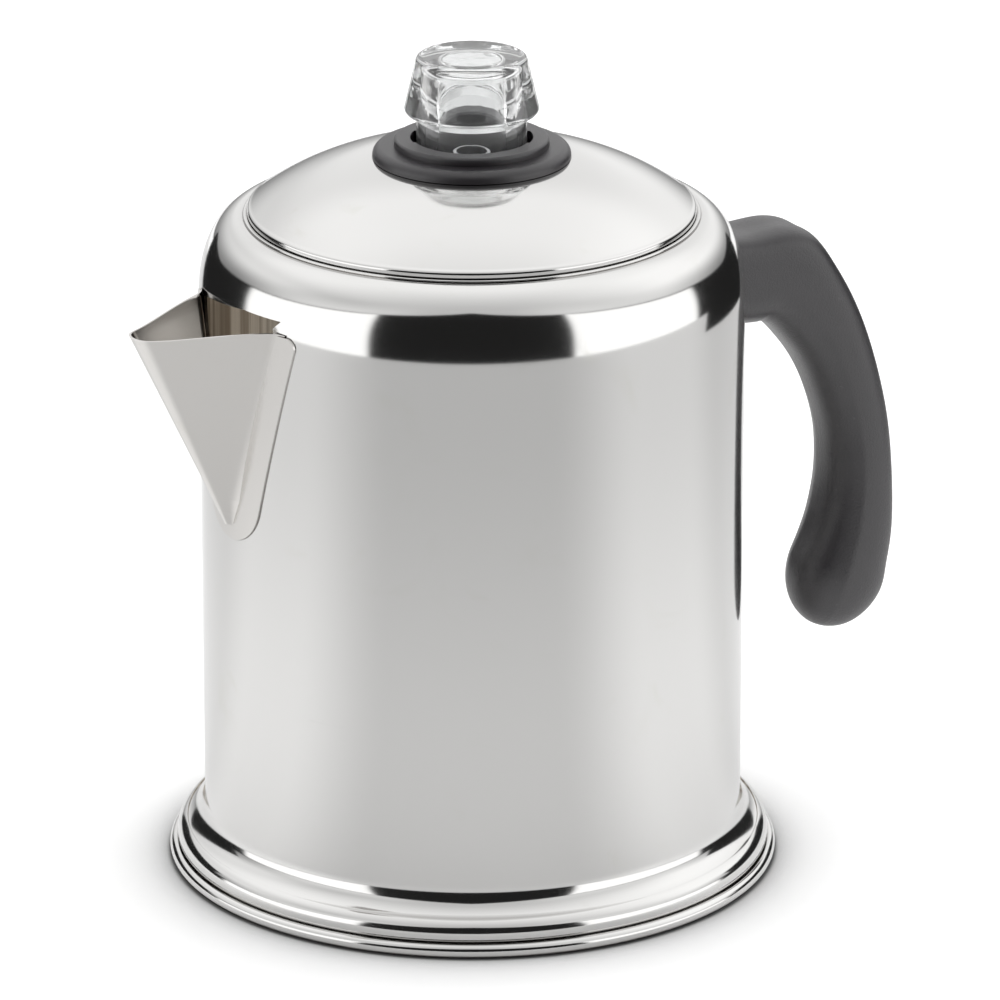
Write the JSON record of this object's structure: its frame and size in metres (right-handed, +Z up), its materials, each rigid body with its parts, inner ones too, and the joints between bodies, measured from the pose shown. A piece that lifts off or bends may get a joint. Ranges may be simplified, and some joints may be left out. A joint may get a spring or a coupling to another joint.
{
  "type": "coffee percolator",
  "caption": "Stovetop coffee percolator: steel pot with flared base, folded spout, lift-off domed lid with clear knob, side handle, and a removable pump and basket inside.",
  "frame": {"origin": "centre of the flat underside of the base, on the surface the pot stands on", "axes": "+Z up along the pot's axis, +X towards the handle, -X towards the spout"},
  "size_m": [0.2272, 0.1608, 0.2182],
  "materials": {
    "polished_steel": "satin polished stainless sheet",
    "spout_steel": "brushed stainless sheet",
    "lid_steel": "satin polished stainless sheet, spun",
    "inner_steel": "plain drawn stainless sheet",
    "heat_aluminium": "plain rolled aluminium",
    "pump_aluminium": "drawn aluminium",
    "fastener_steel": "zinc plated steel",
    "handle_phenolic": "matte moulded phenolic",
    "collar_phenolic": "satin moulded phenolic",
    "knob_clear": "clear moulded plastic"
  },
  "bodies": {
    "pot": {"pot_shell": "polished_steel", "pot_floor": "inner_steel", "heat_disc": "heat_aluminium", "base_cap": "polished_steel", "spout": "spout_steel", "handle": "handle_phenolic", "handle_bracket": "inner_steel", "handle_screw": "fastener_steel", "handle_washer": "fastener_steel"},
    "pump": {"pump_tube": "pump_aluminium", "tube_seat_ring": "pump_aluminium", "pump_base": "pump_aluminium", "valve_cage": "pump_aluminium"},
    "valve": {"pump_valve": "inner_steel"},
    "basket": {"basket_cup": "inner_steel", "basket_sleeve": "inner_steel"},
    "spreader": {"spreader": "inner_steel"},
    "lid": {"lid_dome": "lid_steel", "lid_skirt": "inner_steel", "knob_collar": "collar_phenolic", "collar_retainer": "fastener_steel"},
    "knob": {"knob": "knob_clear"}
  },
  "joints": [
    {"name": "pump_lift", "type": "slide", "parent": "pot", "child": "pump", "axis": [0, 0, 1], "range_m": [0, 0.19]},
    {"name": "valve_lift", "type": "slide", "parent": "pump", "child": "valve", "axis": [0, 0, 1], "range_m": [0, 0.003]},
    {"name": "basket_lift", "type": "slide", "parent": "pump", "child": "basket", "axis": [0, 0, 1], "range_m": [0, 0.1]},
    {"name": "spreader_lift", "type": "slide", "parent": "basket", "child": "spreader", "axis": [0, 0, 1], "range_m": [0, 0.055]},
    {"name": "lid_lift", "type": "slide", "parent": "spreader", "child": "lid", "axis": [0, 0, 1], "range_m": [0, 0.07]},
    {"name": "knob_twist", "type": "hinge", "parent": "lid", "child": "knob", "pos_m": [0, 0, 0.2], "axis": [0, 0, 1], "range_deg": [0, 85]}
  ]
}
